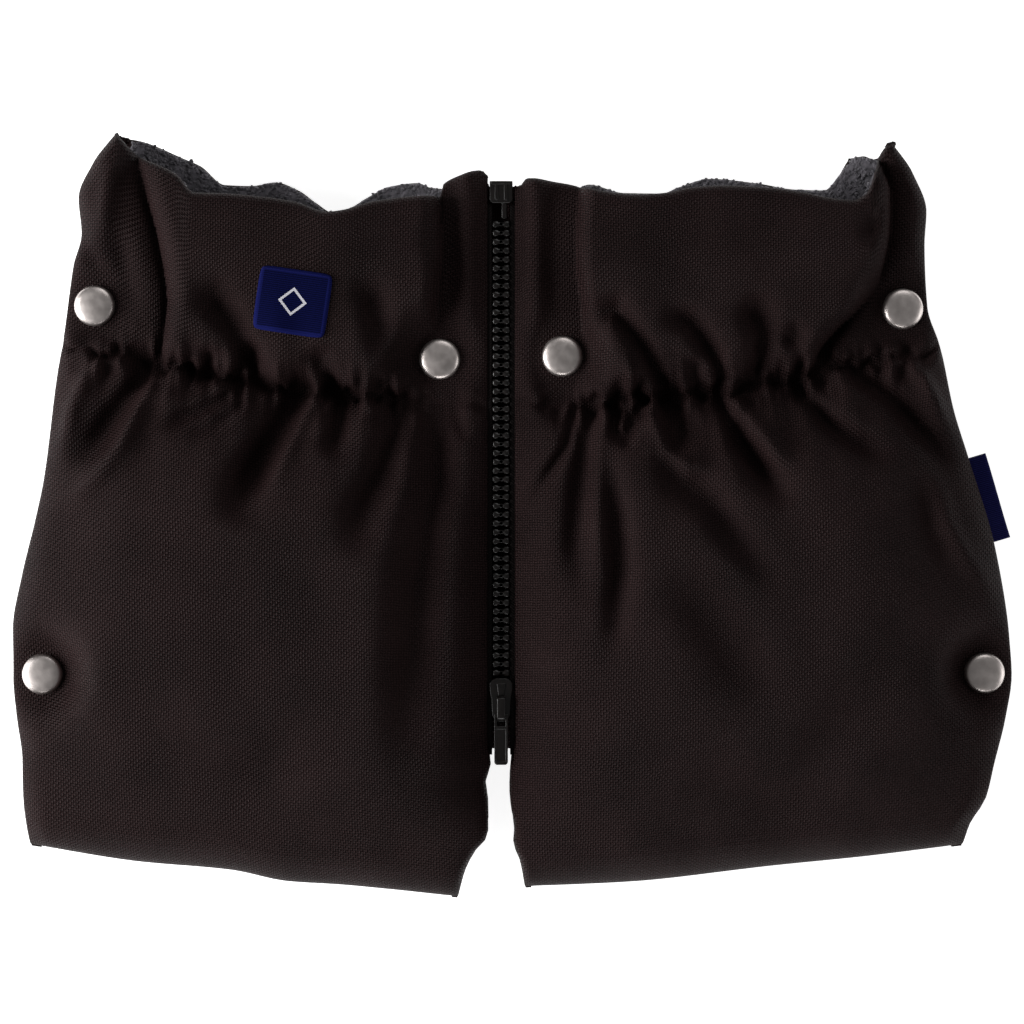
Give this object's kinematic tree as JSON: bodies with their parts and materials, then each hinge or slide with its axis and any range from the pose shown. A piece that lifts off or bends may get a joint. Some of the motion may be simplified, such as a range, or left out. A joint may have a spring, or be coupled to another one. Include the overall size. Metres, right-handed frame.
{
  "type": "hand warmer muff",
  "caption": "Padded pushchair hand muff in two zipped halves, fleece lined, with gathered wrist collars, press snaps and a fold that goes round a handlebar.",
  "frame": {"origin": "middle of the footprint, on the surface that the back panels rest on", "axes": "+X across both halves, from the half with the patch to the half with the tag; +Y from the bottom fold to the wrist collars; +Z from the back panels to the zipped front"},
  "size_m": [0.3684, 0.2815, 0.055],
  "materials": {
    "shell_cloth": "water-repellent woven polyester, slight sheen",
    "wadding": "bonded polyester wadding",
    "fleece": "short-pile fleece",
    "elastic": "woven elastic",
    "zip_tape": "woven tape",
    "zip_plastic": "moulded acetal, semi-gloss",
    "snap_metal": "antiqued nickel, brushed",
    "label": "woven satin label"
  },
  "bodies": {
    "back_panels": {"left_back_shell": "shell_cloth", "left_back_wadding": "wadding", "left_back_lining": "fleece", "left_back_elastic": "elastic", "right_back_shell": "shell_cloth", "right_back_wadding": "wadding", "right_back_lining": "fleece", "right_back_elastic": "elastic", "left_upper_snap_stud": "snap_metal", "left_upper_snap_post": "snap_metal", "left_lower_snap_stud": "snap_metal", "left_lower_snap_post": "snap_metal", "left_inner_snap_stud": "snap_metal", "left_inner_snap_post": "snap_metal", "right_inner_snap_stud": "snap_metal", "right_inner_snap_post": "snap_metal", "right_upper_snap_stud": "snap_metal", "right_upper_snap_post": "snap_metal", "right_lower_snap_stud": "snap_metal", "right_lower_snap_post": "snap_metal", "side_tag": "label"},
    "front_panels": {"left_front_shell": "shell_cloth", "left_front_wadding": "wadding", "left_front_lining": "fleece", "left_front_elastic": "elastic", "right_front_shell": "shell_cloth", "right_front_wadding": "wadding", "right_front_lining": "fleece", "right_front_elastic": "elastic", "left_upper_snap_cap": "snap_metal", "left_upper_snap_socket": "snap_metal", "left_lower_snap_cap": "snap_metal", "left_lower_snap_socket": "snap_metal", "left_inner_snap_cap": "snap_metal", "left_inner_snap_socket": "snap_metal", "right_inner_snap_cap": "snap_metal", "right_inner_snap_socket": "snap_metal", "right_upper_snap_cap": "snap_metal", "right_upper_snap_socket": "snap_metal", "right_lower_snap_cap": "snap_metal", "right_lower_snap_socket": "snap_metal", "left_zip_tape": "zip_tape", "left_zip_teeth": "zip_plastic", "left_zip_end_stop": "zip_plastic", "right_zip_tape": "zip_tape", "right_zip_teeth": "zip_plastic", "right_zip_end_stop": "zip_plastic", "zip_box": "zip_plastic", "zip_insert_pin": "zip_plastic", "zip_guard": "shell_cloth", "woven_patch": "label"},
    "slider": {"slider_body": "zip_plastic", "slider_back_plate": "zip_plastic"},
    "pull": {"pull_tab": "zip_plastic"}
  },
  "joints": [
    {"name": "front_unfold", "type": "hinge", "parent": "back_panels", "child": "front_panels", "pos_m": [0, -0.1412, 0.0275], "axis": [1, 0, 0], "range_deg": [0, 170]},
    {"name": "slider_travel", "type": "slide", "parent": "front_panels", "child": "slider", "axis": [0, 1, 0], "range_m": [0, 0.172]},
    {"name": "pull_swing", "type": "hinge", "parent": "slider", "child": "pull", "pos_m": [-0.0042, -0.0735, 0.0361], "axis": [-1, 0, 0], "range_deg": [0, 130]}
  ]
}
